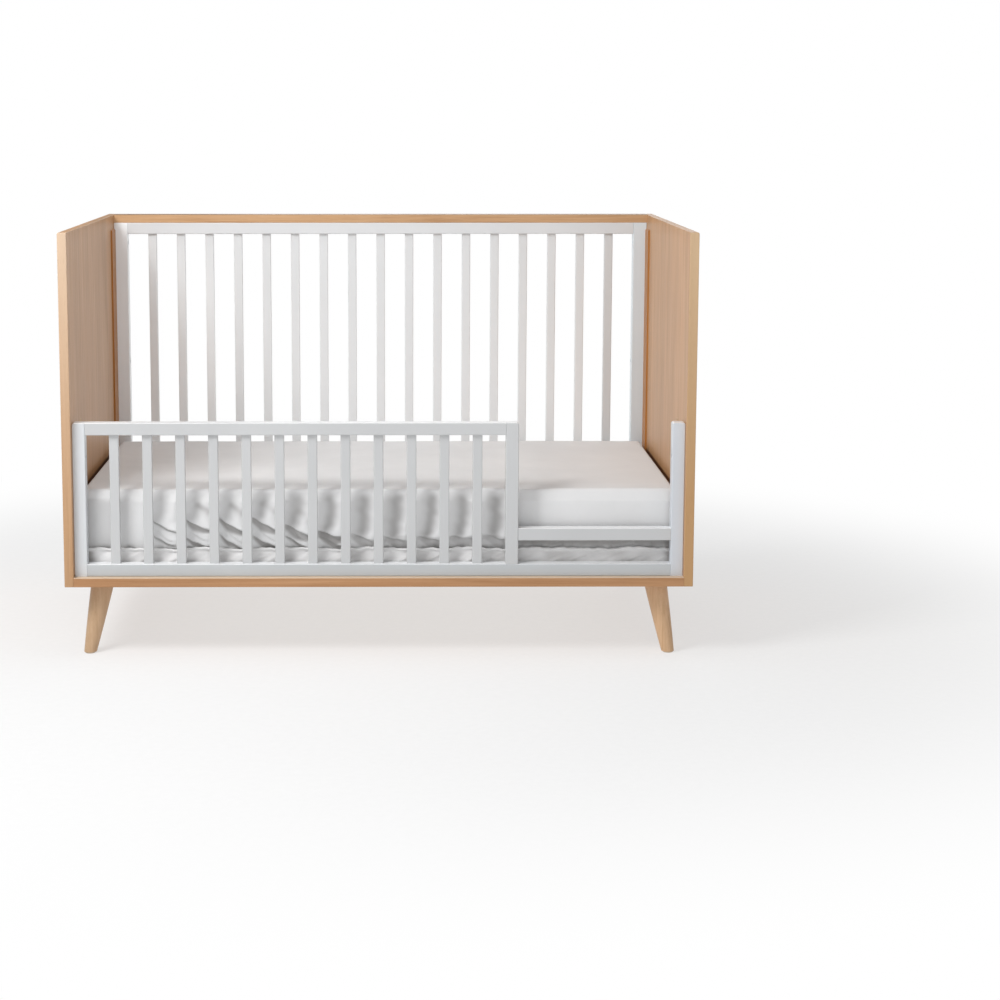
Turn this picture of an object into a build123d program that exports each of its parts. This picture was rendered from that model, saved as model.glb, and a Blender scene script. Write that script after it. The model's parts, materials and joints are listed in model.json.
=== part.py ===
from build123d import *
import os
from math import atan2, degrees, hypot

# A baby crib set up as a toddler bed: walnut ends, base and back top rail, a white
# slatted back, a low white guard with an entry gap at the right, and a mattress on a
# slatted support that can be raised. Millimetres, X along the length, Y to the back,
# Z up, and the origin on the floor under the middle of the crib.

# ---- driving dimensions -------------------------------------------------------------
INNER_LENGTH = 1330.0  # between the end panels: the usual full-size crib interior
PANEL_THICK = 20.0
DEPTH = 804.0  # front edge to back edge of an end panel
HEIGHT = 930.0
BASE_UNDER = 158.0  # underside of the end panels and the base boards
BOARD_THICK = 20.0
BOARD_WIDE = 110.0
REVEAL = 18.0  # the white frames stand back from the panels' edges
FRAME_DEEP = 28.0  # front to back, of every white post and rail

POST_WIDE = 28.0
STILE_WIDE = 34.0
RAIL_HIGH = 27.0
UPPER_RAIL_HIGH = 28.0
TOP_RAIL_THICK = 20.0
GUARD_TOP = 517.0
GUARD_POST_X = 290.0  # centre of the middle post
ENTRY_RAIL_TOP = 284.0

SLAT_WIDE = 21.0
SLAT_DEEP = 12.0
SLAT_SINK = 12.0  # how far a slat's end goes into its rail
BACK_SLATS = 17
GUARD_SLATS = 12

TENON_HALF_DEEP = 6.0
TENON_HALF_HIGH = 8.0
TENON_LONG = 20.0  # into a stile or an end post
TENON_SHORT = 14.0  # into the middle post from either side, and from it into the bottom rail

BATTEN_THICK = 4.0
BATTEN_WIDE = 60.0
BATTEN_BEVEL = 3.0
BATTEN_TOP = 895.0

LEG_TOP_X = 611.0
LEG_TOP_Y = 327.0
LEG_FOOT_X = 639.0
LEG_FOOT_Y = 354.0
LEG_TOP_R = 25.0
LEG_FOOT_R = 13.2
LEG_BULGE = 1.0  # how much the leg's outline bows outwards half way down
GLIDE_R = 11.0
GLIDE_THICK = 3.0
GLIDE_BEVEL = 0.8

SUPPORT_UNDER = 182.0
SUPPORT_THICK = 19.0
SUPPORT_LENGTH = 1304.0
SUPPORT_DEPTH = 688.0
SUPPORT_RAIL_WIDE = 45.0
SUPPORT_SLATS = 10
SUPPORT_SLAT_WIDE = 60.0
SUPPORT_SLAT_THICK = 9.0
SUPPORT_SLAT_SEAT = 30.0  # how far a support slat reaches over each side rail
SUPPORT_TONGUE_LONG = 25.0
SUPPORT_TONGUE_HALF_WIDE = 14.0
SUPPORT_TONGUE_HALF_HIGH = 4.0
BRACKET_Y = 250.0
BRACKET_WIDE = 50.0
BRACKET_THICK = 3.0
BRACKET_HIGH = 52.0
BRACKET_REACH = 42.0
BRACKET_OFF_WALL = 0.5  # air between a bracket and the end panel
BRACKET_SLOT_PLAY = 0.3  # air all round the bolt in a bracket's slot
BRACKET_NOTCH_DEEP = 9.0  # cut in a bracket's shelf, so that it passes the bolt's head
SCREW_OFF_WALL = 30.0  # from a bracket screw's centre to the panel's face
SCREW_APART = 15.0  # from a bracket's middle to each of its two screws
SCREW_R = 2.0
SCREW_LONG = 14.0
SCREW_HEAD_R = 4.0
SCREW_HEAD_THICK = 2.0
HEIGHT_STEP = 150.0  # between the mattress support's three heights
HEIGHTS = 3

MATTRESS_LENGTH = 1300.0
MATTRESS_DEPTH = 686.0
MATTRESS_TOP = 363.5
MATTRESS_EDGE_R = 20.5
MATTRESS_CORNER_R = 30.0
SHEET_THICK = 1.5
SHEET_HEM = 231.0  # height of the fitted sheet's lower edge
MATTRESS_GAP = 0.3  # between the mattress and what it lies on

FIT = 0.05  # radial clearance round each fastener
OVER = 1.0  # how far a cutting solid runs past the face that it opens
BOLT_R = 3.0
BOLT_HEAD_R = 6.0
BOLT_HEAD_THICK = 4.0
BOLT_GRIP = 23.0  # from under the head to the panel's face
BOLT_KEY_R = 2.6  # to the corners of the hexagonal socket in the head
BOLT_KEY_DEEP = 2.5
INSERT_R = 5.0
INSERT_LONG = 12.0
DOWEL_R = 4.0
DOWEL_IN_PANEL = 12.0
DOWEL_IN_BOARD = 24.0
CAM_R = 7.5
CAM_THICK = 12.5
CAM_SETBACK = 24.0  # from the cam's centre to the panel's face
CAM_PLAY = 0.4  # air between a cam and the pin that it draws in
CAM_CROSS_HALF_LONG = 4.0
CAM_CROSS_HALF_WIDE = 0.8
CAM_CROSS_DEEP = 2.0
PIN_R = 2.6
PIN_TIP_R = 3.4
PIN_TIP_LONG = 3.0
PIN_IN_PANEL = 10.0
HANGER_R = 4.0
HANGER_IN_LEG = 45.0
HANGER_IN_BOARD = 14.0
LEG_INSERT_R = 6.0
LEG_INSERT_LONG = 16.0
LEG_FLANGE_R = 9.0
LEG_FLANGE_THICK = 1.5
HOOK_HEAD_R = 7.0
HOOK_HEAD_THICK = 3.0
HOOK_NECK = 3.8  # from the panel's face to the hook bolt's head
HOOK_KEY_R = 2.3
HOOK_KEY_DEEP = 1.8
HOOK_ABOVE_SUPPORT = 22.0  # height of the hook bolts above the support's underside

SMALL_EDGE = 1.5  # rounding of wooden edges that a hand meets
FRAME_EDGE = 2.0  # rounding along the white members
CORNER_EDGE = 5.0  # rounding of the guard's free top corners
PANEL_TOP_EDGE = 4.0

# ---- places worked out from them ----------------------------------------------------
INNER_X = INNER_LENGTH / 2
OUTER_X = INNER_X + PANEL_THICK
HALF_DEPTH = DEPTH / 2
BOARD_TOP = BASE_UNDER + BOARD_THICK
BOARD_MID = BASE_UNDER + BOARD_THICK / 2
FRAME_OUT = HALF_DEPTH - REVEAL  # outer face of the front guard and of the back frame
FRAME_IN = FRAME_OUT - FRAME_DEEP
FRAME_MID = (FRAME_OUT + FRAME_IN) / 2
BOARD_IN = HALF_DEPTH - BOARD_WIDE
TOP_RAIL_UNDER = HEIGHT - TOP_RAIL_THICK
LOWER_RAIL_TOP = BOARD_TOP + RAIL_HIGH
UPPER_RAIL_UNDER = TOP_RAIL_UNDER - UPPER_RAIL_HIGH
STILE_IN = INNER_X - STILE_WIDE
POST_IN = INNER_X - POST_WIDE
MID_POST_LEFT = GUARD_POST_X - POST_WIDE / 2
MID_POST_RIGHT = GUARD_POST_X + POST_WIDE / 2
SUPPORT_TOP = SUPPORT_UNDER + SUPPORT_THICK
SUPPORT_X = SUPPORT_LENGTH / 2
SUPPORT_Y = SUPPORT_DEPTH / 2
SUPPORT_END_X = SUPPORT_X - SUPPORT_RAIL_WIDE
SUPPORT_SIDE_Y = SUPPORT_Y - SUPPORT_RAIL_WIDE
HOOK_Z = SUPPORT_UNDER + HOOK_ABOVE_SUPPORT
BOLT_END_X = INNER_X + INSERT_LONG - 1.0  # a bolt stops just short of its insert's end
STILE_BOLT_HEIGHTS = (260.0, 560.0, 860.0)
GUARD_BOLT_HEIGHTS = (232.0, 440.0)
SIDE_CAM_Y = (-200.0, 0.0, 200.0)
END_CAM_Y = HALF_DEPTH - 18.0
END_DOWEL_Y = HALF_DEPTH - 96.0
RAIL_DOWEL_Y = (FRAME_IN + 12.0, HALF_DEPTH - 12.0)
SIDES = (-1, 1)


# ---- small helpers ------------------------------------------------------------------
def block(x0, x1, y0, y1, z0, z1):
    """A box between two corners."""
    middle = Pos((x0 + x1) / 2, (y0 + y1) / 2, (z0 + z1) / 2)
    return middle * Box(abs(x1 - x0), abs(y1 - y0), abs(z1 - z0))


def eased_along(solid, axis, radius):
    """The solid with only its edges along one axis rounded."""
    return fillet(solid.edges().filter_by(axis), radius)


def rod_x(x0, x1, y, z, radius):
    """A round bar along X."""
    return Pos((x0 + x1) / 2, y, z) * Rot(0, 90, 0) * Cylinder(radius, abs(x1 - x0))


def rod_z(x, y, z0, z1, radius):
    """A round bar along Z."""
    return Pos(x, y, (z0 + z1) / 2) * Cylinder(radius, abs(z1 - z0))


def top_corner(solid, side):
    """The edge along Y at the top of one side of a post."""
    return solid.edges().filter_by(Axis.Y).group_by(Axis.Z)[-1].sort_by(Axis.X)[side]


def slat_places(start, end, count):
    """Centres of equally spaced slats with equal gaps at both ends."""
    gap = (end - start - count * SLAT_WIDE) / (count + 1)
    first = start + gap + SLAT_WIDE / 2
    return [first + n * (gap + SLAT_WIDE) for n in range(count)]


def slat(x, y, z0, z1):
    """One upright slat with rounded long edges, its ends inside the rails."""
    body = block(
        x - SLAT_WIDE / 2, x + SLAT_WIDE / 2,
        y - SLAT_DEEP / 2, y + SLAT_DEEP / 2,
        z0 - SLAT_SINK, z1 + SLAT_SINK,
    )
    return eased_along(body, Axis.Z, FRAME_EDGE)


def tenon_x(x0, x1, y, z):
    """The tongue of a rail's end along X, which fills its socket."""
    return block(x0, x1, y - TENON_HALF_DEEP, y + TENON_HALF_DEEP, z - TENON_HALF_HIGH, z + TENON_HALF_HIGH)


# ---- fasteners, one shape each, placed by the lists below -----------------------------
def frame_bolt(side, y, z):
    """Socket-head bolt along X through a post into the panel's threaded insert."""
    under_head = INNER_X - BOLT_GRIP
    shank = rod_x(side * under_head, side * BOLT_END_X, y, z, BOLT_R)
    head = rod_x(side * (under_head - BOLT_HEAD_THICK), side * under_head, y, z, BOLT_HEAD_R)
    key = Pos(side * (under_head - BOLT_HEAD_THICK), y, z) * Rot(0, 90, 0)
    socket = key * extrude(RegularPolygon(BOLT_KEY_R, 6), BOLT_KEY_DEEP, both=True)
    return shank + head - socket


def frame_bolt_room(side, y, z, post_face):
    """What the bolt needs cut from a post: a hole, and a recess for its head."""
    under_head = INNER_X - BOLT_GRIP
    hole = rod_x(side * (under_head - OVER), side * (INNER_X + OVER), y, z, BOLT_R + FIT)
    recess = rod_x(side * (post_face - OVER), side * under_head, y, z, BOLT_HEAD_R + FIT)
    return hole + recess


def panel_insert(side, y, z):
    """Threaded metal sleeve let into a panel's inner face."""
    sleeve = rod_x(side * INNER_X, side * (INNER_X + INSERT_LONG), y, z, INSERT_R)
    thread = rod_x(side * (INNER_X - OVER), side * (INNER_X + INSERT_LONG + OVER), y, z, BOLT_R + FIT)
    return sleeve - thread


def hook_bolt(side, y, z):
    """Shouldered bolt that stands out of a panel, for a support bracket to hang on."""
    shoulder_x = INNER_X - HOOK_NECK
    head_x = shoulder_x - HOOK_HEAD_THICK
    head = rod_x(side * head_x, side * shoulder_x, y, z, HOOK_HEAD_R)
    shoulder = rod_x(side * shoulder_x, side * INNER_X, y, z, HANGER_R)
    thread = rod_x(side * INNER_X, side * BOLT_END_X, y, z, BOLT_R)
    key = extrude(RegularPolygon(HOOK_KEY_R, 6), HOOK_KEY_DEEP, both=True)
    key = Pos(side * head_x, y, z) * Rot(0, 90, 0) * key
    return head + shoulder + thread - key


def dowel(side, y, z):
    """Wooden peg along X between a board's end and the panel."""
    start = side * (INNER_X - DOWEL_IN_BOARD)
    end = side * (INNER_X + DOWEL_IN_PANEL)
    return rod_x(start, end, y, z, DOWEL_R)


def cam_bolt(side, y, extra):
    """Steel pin from the panel into a cam; extra makes it larger, for its hole."""
    cam_x = INNER_X - CAM_SETBACK
    tip = rod_x(side * (cam_x - PIN_TIP_LONG), side * (cam_x + 1), y, BOARD_MID, PIN_TIP_R + extra)
    stem_end = INNER_X + PIN_IN_PANEL + extra
    stem = rod_x(side * cam_x, side * stem_end, y, BOARD_MID, PIN_R + extra)
    return tip + stem


def cam_blank(side, y, extra):
    """A cam's round body in the board's underside; extra makes its pocket."""
    x = side * (INNER_X - CAM_SETBACK)
    return rod_z(x, y, BASE_UNDER - extra, BASE_UNDER + CAM_THICK + extra, CAM_R + extra)


def cam_lock(side, y):
    """Round cam that draws the pin in, with a cross slot for a screwdriver."""
    x = side * (INNER_X - CAM_SETBACK)
    z0 = BASE_UNDER - OVER
    z1 = BASE_UNDER + CAM_CROSS_DEEP
    long = CAM_CROSS_HALF_LONG
    wide = CAM_CROSS_HALF_WIDE
    cross = block(x - long, x + long, y - wide, y + wide, z0, z1)
    cross += block(x - wide, x + wide, y - long, y + long, z0, z1)
    return cam_blank(side, y, 0) - cam_bolt(side, y, CAM_PLAY) - cross


def frame_bolt_places():
    """(side, y, height, inner face of the post or stile) of each frame bolt."""
    back = [(s, FRAME_MID, z, STILE_IN) for s in SIDES for z in STILE_BOLT_HEIGHTS]
    front = [(s, -FRAME_MID, z, POST_IN) for s in SIDES for z in GUARD_BOLT_HEIGHTS]
    return back + front


def hook_places():
    """(side, y, height) of each insert for the mattress support, lowest height first."""
    return [
        (s, y, HOOK_Z + n * HEIGHT_STEP)
        for n in range(HEIGHTS)
        for s in SIDES
        for y in (-BRACKET_Y, BRACKET_Y)
    ]


def insert_places():
    """(side, y, height) of every threaded insert in the end panels."""
    return [(s, y, z) for s, y, z, _ in frame_bolt_places()] + hook_places()


def dowel_places():
    """(side, y, height) of each wooden peg."""
    base = [(s, y, BOARD_MID) for s in SIDES for y in (-END_DOWEL_Y, END_DOWEL_Y)]
    top = [(s, y, HEIGHT - TOP_RAIL_THICK / 2) for s in SIDES for y in RAIL_DOWEL_Y]
    return base + top


def cam_places():
    """(side, y) of each cam and its pin."""
    ends = [(s, y) for s in SIDES for y in (-END_CAM_Y, END_CAM_Y)]
    return ends + [(s, y) for s in SIDES for y in SIDE_CAM_Y]


def leg_places():
    """(left or right, front or back) of each leg."""
    return [(sx, sy) for sy in SIDES for sx in SIDES]


# ---- walnut shell ---------------------------------------------------------------------
def end_panel(side):
    """A full-height end with blind holes in its inner face."""
    panel = block(side * INNER_X, side * OUTER_X, -HALF_DEPTH, HALF_DEPTH, BASE_UNDER, HEIGHT)
    outer, inner = (-1, 0) if side > 0 else (0, -1)
    panel = fillet(top_corner(panel, outer), PANEL_TOP_EDGE)
    panel = fillet(top_corner(panel, inner), SMALL_EDGE)
    panel = fillet(panel.edges().filter_by(Axis.Y).group_by(Axis.Z)[0], SMALL_EDGE)
    for end in (0, -1):
        panel = fillet(panel.edges().group_by(Axis.Y)[end], SMALL_EDGE)
    mouth = side * (INNER_X - OVER)
    for s, y, z in insert_places():
        if s == side:
            panel -= rod_x(mouth, side * (INNER_X + INSERT_LONG), y, z, INSERT_R + FIT)
    for s, y, z in dowel_places():
        if s == side:
            panel -= rod_x(mouth, side * (INNER_X + DOWEL_IN_PANEL), y, z, DOWEL_R + FIT)
    for s, y in cam_places():
        if s == side:
            panel -= cam_bolt(side, y, FIT)
    return panel


def back_top_rail():
    """The walnut rail that caps the slatted back."""
    rail = block(-INNER_X, INNER_X, FRAME_IN, HALF_DEPTH, TOP_RAIL_UNDER, HEIGHT)
    rail = eased_along(rail, Axis.X, SMALL_EDGE)
    for s, y, z in dowel_places():
        if z > GUARD_TOP:
            rail -= rod_x(s * (INNER_X - DOWEL_IN_BOARD), s * (INNER_X + OVER), y, z, DOWEL_R + FIT)
    return rail


def long_base_board(front_or_back):
    """The flat board under the guard (-1) or under the back frame (1)."""
    y_out = front_or_back * HALF_DEPTH
    y_in = front_or_back * BOARD_IN
    board = block(-INNER_X, INNER_X, y_out, y_in, BASE_UNDER, BOARD_TOP)
    board = eased_along(board, Axis.X, SMALL_EDGE)
    for s in SIDES:
        y_cam = front_or_back * END_CAM_Y
        y_dowel = front_or_back * END_DOWEL_Y
        board -= cam_blank(s, y_cam, FIT) + cam_bolt(s, y_cam, FIT)
        hole_end = INNER_X - DOWEL_IN_BOARD
        board -= rod_x(s * hole_end, s * (INNER_X + OVER), y_dowel, BOARD_MID, DOWEL_R + FIT)
        board -= leg_insert_blank(s * LEG_TOP_X, front_or_back * LEG_TOP_Y, FIT)
    return board


def side_base_board(side):
    """The flat board along an end panel, between the two long boards."""
    x_in = side * (INNER_X - BOARD_WIDE)
    board = block(x_in, side * INNER_X, -BOARD_IN, BOARD_IN, BASE_UNDER, BOARD_TOP)
    board = eased_along(board, Axis.Y, SMALL_EDGE)
    for y in SIDE_CAM_Y:
        board -= cam_blank(side, y, FIT) + cam_bolt(side, y, FIT)
    return board


def corner_batten(side):
    """The thin walnut strip on a panel's inner face that the back frame stands against."""
    x_in = side * (INNER_X - BATTEN_THICK)
    strip = block(x_in, side * INNER_X, FRAME_IN - BATTEN_WIDE, FRAME_IN, BOARD_TOP, BATTEN_TOP)
    free_top = top_corner(strip, 0 if side > 0 else -1)
    return chamfer(free_top, BATTEN_BEVEL)


# ---- legs -----------------------------------------------------------------------------
def leg(sx, sy):
    """A splayed round leg, cut level at the board above and at the glide below."""
    run = hypot(LEG_FOOT_X - LEG_TOP_X, LEG_FOOT_Y - LEG_TOP_Y)
    length = hypot(run, BASE_UNDER)
    lean = degrees(atan2(run, BASE_UNDER))
    turn = degrees(atan2(sy * (LEG_FOOT_Y - LEG_TOP_Y), sx * (LEG_FOOT_X - LEG_TOP_X)))
    spare = 20.0  # extra length at both ends, cut off level below
    reach = 120.0  # half the side of the block that cuts them off
    taper = (LEG_TOP_R - LEG_FOOT_R) / length
    top_r = LEG_TOP_R + spare * taper
    foot_r = LEG_FOOT_R - spare * taper
    with BuildSketch(Plane.XZ) as outline:
        with BuildLine():
            Line((0, spare), (top_r, spare))
            ThreePointArc(
                (top_r, spare),
                ((top_r + foot_r) / 2 + LEG_BULGE, -length / 2),
                (foot_r, -length - spare),
            )
            Line((foot_r, -length - spare), (0, -length - spare))
            Line((0, -length - spare), (0, spare))
        make_face()
    turned = revolve(outline.sketch, Axis.Z)
    x = sx * LEG_TOP_X
    y = sy * LEG_TOP_Y
    placed = Pos(x, y, BASE_UNDER) * Rot(0, 0, turn) * Rot(0, -lean, 0) * turned
    level = block(x - reach, x + reach, y - reach, y + reach, GLIDE_THICK, BASE_UNDER)
    cut = placed & level
    return cut - rod_z(x, y, BASE_UNDER - HANGER_IN_LEG, BASE_UNDER + OVER, HANGER_R + FIT)


def leg_hanger_bolt(sx, sy):
    """Double-ended bolt that joins a leg to the board above it."""
    lower_end = BASE_UNDER - HANGER_IN_LEG + 1
    return rod_z(sx * LEG_TOP_X, sy * LEG_TOP_Y, lower_end, BASE_UNDER + HANGER_IN_BOARD, HANGER_R)


def leg_insert_blank(x, y, extra):
    """Outside of a leg's threaded insert; extra makes its hole in the board."""
    sleeve = rod_z(x, y, BASE_UNDER, BASE_UNDER + LEG_INSERT_LONG + extra, LEG_INSERT_R + extra)
    flange = rod_z(x, y, BASE_UNDER, BASE_UNDER + LEG_FLANGE_THICK + extra, LEG_FLANGE_R + extra)
    return sleeve + flange


def leg_insert(sx, sy):
    """Flanged threaded insert for a leg's bolt."""
    x = sx * LEG_TOP_X
    y = sy * LEG_TOP_Y
    thread = rod_z(x, y, BASE_UNDER - OVER, BASE_UNDER + HANGER_IN_BOARD + 1, HANGER_R + FIT)
    return leg_insert_blank(x, y, 0) - thread


def foot_glide(sx, sy):
    """Round plastic pad under a foot, with a small bevel."""
    pad = rod_z(sx * LEG_FOOT_X, sy * LEG_FOOT_Y, 0, GLIDE_THICK, GLIDE_R)
    return chamfer(pad.edges().group_by(Axis.Z)[0], GLIDE_BEVEL)


# ---- white back frame -----------------------------------------------------------------
def back_stile(side):
    """Full-height upright of the back, bolted to the end panel."""
    stile = block(side * STILE_IN, side * INNER_X, FRAME_IN, FRAME_OUT, BOARD_TOP, TOP_RAIL_UNDER)
    stile = eased_along(stile, Axis.Z, FRAME_EDGE)
    for z in (BOARD_TOP + RAIL_HIGH / 2, TOP_RAIL_UNDER - UPPER_RAIL_HIGH / 2):
        stile -= tenon_x(side * STILE_IN, side * (STILE_IN + TENON_LONG), FRAME_MID, z)
    for s, y, z, face in frame_bolt_places():
        if s == side and y > 0:
            stile -= frame_bolt_room(side, y, z, face)
    return stile


def back_rail(z0, z1):
    """Upper or lower rail of the back, with a tongue at each end."""
    rail = block(-STILE_IN, STILE_IN, FRAME_IN, FRAME_OUT, z0, z1)
    rail = eased_along(rail, Axis.X, FRAME_EDGE)
    for side in SIDES:
        rail += tenon_x(side * STILE_IN, side * (STILE_IN + TENON_LONG), FRAME_MID, (z0 + z1) / 2)
    for slat_solid in back_slats():
        rail -= slat_solid
    return rail


def back_slats():
    """The back's slats from left to right."""
    places = slat_places(-STILE_IN, STILE_IN, BACK_SLATS)
    return [slat(x, FRAME_MID, LOWER_RAIL_TOP, UPPER_RAIL_UNDER) for x in places]


# ---- white front guard ----------------------------------------------------------------
def guard_end_post(side):
    """Short post bolted to the end panel."""
    post = block(side * POST_IN, side * INNER_X, -FRAME_OUT, -FRAME_IN, BOARD_TOP, GUARD_TOP)
    # the left post meets the top rail, so only its outer corner is free
    free = [top_corner(post, 0)] if side < 0 else [top_corner(post, 0), top_corner(post, -1)]
    post = fillet(free, CORNER_EDGE)
    post = fillet(post.edges().filter_by(Axis.Z), FRAME_EDGE)
    upper_rail_top = GUARD_TOP if side < 0 else ENTRY_RAIL_TOP
    for rail_top in (LOWER_RAIL_TOP, upper_rail_top):
        z = rail_top - RAIL_HIGH / 2
        post -= tenon_x(side * POST_IN, side * (POST_IN + TENON_LONG), -FRAME_MID, z)
    for s, y, z, face in frame_bolt_places():
        if s == side and y < 0:
            post -= frame_bolt_room(side, y, z, face)
    return post


def middle_tongue():
    """Tongue under the middle post, in the bottom rail."""
    return block(
        GUARD_POST_X - TENON_HALF_HIGH, GUARD_POST_X + TENON_HALF_HIGH,
        -FRAME_MID - TENON_HALF_DEEP, -FRAME_MID + TENON_HALF_DEEP,
        LOWER_RAIL_TOP - TENON_SHORT, LOWER_RAIL_TOP,
    )


def guard_middle_post():
    """Post between the slatted guard and the entry gap."""
    post = block(MID_POST_LEFT, MID_POST_RIGHT, -FRAME_OUT, -FRAME_IN, LOWER_RAIL_TOP, GUARD_TOP)
    post = fillet([top_corner(post, -1)], CORNER_EDGE)
    post = fillet(post.edges().filter_by(Axis.Z), FRAME_EDGE)
    post += middle_tongue()
    top_mid = GUARD_TOP - RAIL_HIGH / 2
    entry_mid = ENTRY_RAIL_TOP - RAIL_HIGH / 2
    post -= tenon_x(MID_POST_LEFT, MID_POST_LEFT + TENON_SHORT, -FRAME_MID, top_mid)
    post -= tenon_x(MID_POST_RIGHT - TENON_SHORT, MID_POST_RIGHT, -FRAME_MID, entry_mid)
    return post


def guard_rail(x0, x1, z_top, left_tongue, right_tongue):
    """A rail of the guard with a tongue at each end."""
    z_mid = z_top - RAIL_HIGH / 2
    rail = block(x0, x1, -FRAME_OUT, -FRAME_IN, z_top - RAIL_HIGH, z_top)
    rail = eased_along(rail, Axis.X, FRAME_EDGE)
    rail += tenon_x(x0 - left_tongue, x0, -FRAME_MID, z_mid)
    rail += tenon_x(x1, x1 + right_tongue, -FRAME_MID, z_mid)
    return rail


def guard_top_rail():
    """The rail that caps the guard's slats."""
    rail = guard_rail(-POST_IN, MID_POST_LEFT, GUARD_TOP, TENON_LONG, TENON_SHORT)
    for slat_solid in guard_slats():
        rail -= slat_solid
    return rail


def guard_bottom_rail():
    """The rail on the base board, under the slats and the entry gap."""
    rail = guard_rail(-POST_IN, POST_IN, LOWER_RAIL_TOP, TENON_LONG, TENON_LONG) - middle_tongue()
    for slat_solid in guard_slats():
        rail -= slat_solid
    return rail


def guard_entry_rail():
    """The low rail across the entry gap."""
    return guard_rail(MID_POST_RIGHT, POST_IN, ENTRY_RAIL_TOP, TENON_SHORT, TENON_LONG)


def guard_slats():
    """The guard's slats from left to right."""
    places = slat_places(-POST_IN, MID_POST_LEFT, GUARD_SLATS)
    return [slat(x, -FRAME_MID, LOWER_RAIL_TOP, GUARD_TOP - RAIL_HIGH) for x in places]


# ---- mattress support -----------------------------------------------------------------
def support_slats():
    """Cross slats, flush with the top of the support's rails."""
    room = 2 * SUPPORT_END_X
    gap = (room - SUPPORT_SLATS * SUPPORT_SLAT_WIDE) / (SUPPORT_SLATS + 1)
    half = SUPPORT_SIDE_Y + SUPPORT_SLAT_SEAT
    z0 = SUPPORT_TOP - SUPPORT_SLAT_THICK
    starts = [-SUPPORT_END_X + gap + n * (gap + SUPPORT_SLAT_WIDE) for n in range(SUPPORT_SLATS)]
    return [block(x, x + SUPPORT_SLAT_WIDE, -half, half, z0, SUPPORT_TOP) for x in starts]


def support_tongue(side, front_or_back):
    """Tongue of a support's end rail, in its side rail."""
    x_mid = side * (SUPPORT_END_X + SUPPORT_RAIL_WIDE / 2)
    y0 = front_or_back * SUPPORT_SIDE_Y
    y1 = front_or_back * (SUPPORT_SIDE_Y + SUPPORT_TONGUE_LONG)
    z_mid = SUPPORT_UNDER + SUPPORT_THICK / 2
    wide = SUPPORT_TONGUE_HALF_WIDE
    high = SUPPORT_TONGUE_HALF_HIGH
    return block(x_mid - wide, x_mid + wide, y0, y1, z_mid - high, z_mid + high)


def support_side_rail(front_or_back):
    """Long rail of the support, notched for the slats."""
    y_in = front_or_back * SUPPORT_SIDE_Y
    y_out = front_or_back * SUPPORT_Y
    rail = block(-SUPPORT_X, SUPPORT_X, y_in, y_out, SUPPORT_UNDER, SUPPORT_TOP)
    rail = eased_along(rail, Axis.X, SMALL_EDGE)
    for side in SIDES:
        rail -= support_tongue(side, front_or_back)
    for slat_solid in support_slats():
        rail -= slat_solid
    return rail


def support_end_rail(side):
    """Short rail of the support, which the brackets carry."""
    x_in = side * SUPPORT_END_X
    x_out = side * SUPPORT_X
    rail = block(x_in, x_out, -SUPPORT_SIDE_Y, SUPPORT_SIDE_Y, SUPPORT_UNDER, SUPPORT_TOP)
    rail = eased_along(rail, Axis.Y, SMALL_EDGE)
    for front_or_back in SIDES:
        rail += support_tongue(side, front_or_back)
    for s, x, y in bracket_screw_places():
        if s == side:
            rail -= rod_z(x, y, SUPPORT_UNDER - OVER, SUPPORT_UNDER + SCREW_LONG, SCREW_R + FIT)
    return rail


def support_bracket(side, y):
    """Steel angle that hooks over a bolt by a slot open at the bottom."""
    x_wall = INNER_X - BRACKET_OFF_WALL
    x_face = x_wall - BRACKET_THICK
    y0 = y - BRACKET_WIDE / 2
    y1 = y + BRACKET_WIDE / 2
    z0 = SUPPORT_UNDER - BRACKET_THICK
    upright = block(side * x_face, side * x_wall, y0, y1, z0, z0 + BRACKET_HIGH)
    shelf = block(side * (x_wall - BRACKET_REACH), side * x_wall, y0, y1, z0, SUPPORT_UNDER)
    slot_r = HANGER_R + BRACKET_SLOT_PLAY
    slot_in = side * (x_face - OVER)
    slot_out = side * (x_wall + OVER)
    slot = block(slot_in, slot_out, y - slot_r, y + slot_r, z0 - OVER, HOOK_Z)
    slot += rod_x(slot_in, slot_out, y, HOOK_Z, slot_r)
    notch_half = HOOK_HEAD_R + 1
    notch_in = side * (x_wall - BRACKET_NOTCH_DEEP)
    notch = block(notch_in, side * x_face, y - notch_half, y + notch_half, z0 - OVER, SUPPORT_UNDER + OVER)
    bracket = upright + shelf - slot - notch
    for s, x, screw_y in bracket_screw_places():
        if s == side:
            bracket -= bracket_screw(x, screw_y, FIT)
    return bracket


def bracket_screw_places():
    """(side, x, y) of the two screws in each bracket."""
    x = INNER_X - SCREW_OFF_WALL
    return [
        (s, s * x, y + offset)
        for s in SIDES
        for y in (-BRACKET_Y, BRACKET_Y)
        for offset in (-SCREW_APART, SCREW_APART)
    ]


def bracket_screw(x, y, extra):
    """Countersunk screw up through a bracket's shelf; extra makes its hole."""
    z0 = SUPPORT_UNDER - BRACKET_THICK
    z_head = z0 + SCREW_HEAD_THICK / 2
    head = Pos(x, y, z_head) * Cone(SCREW_HEAD_R + extra, SCREW_R + extra, SCREW_HEAD_THICK)
    shank = rod_z(x, y, z_head, z_head + SCREW_LONG, SCREW_R + extra)
    return head + shank


# ---- mattress -------------------------------------------------------------------------
def rounded_pad(grow, z0, z1, edge_r):
    """A block with round upright corners and a round top edge."""
    half_x = MATTRESS_LENGTH / 2 + grow
    half_y = MATTRESS_DEPTH / 2 + grow
    pad = block(-half_x, half_x, -half_y, half_y, z0, z1)
    pad = fillet(pad.edges().filter_by(Axis.Z), MATTRESS_CORNER_R + grow)
    return fillet(pad.edges().group_by(Axis.Z)[-1], edge_r)


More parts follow.
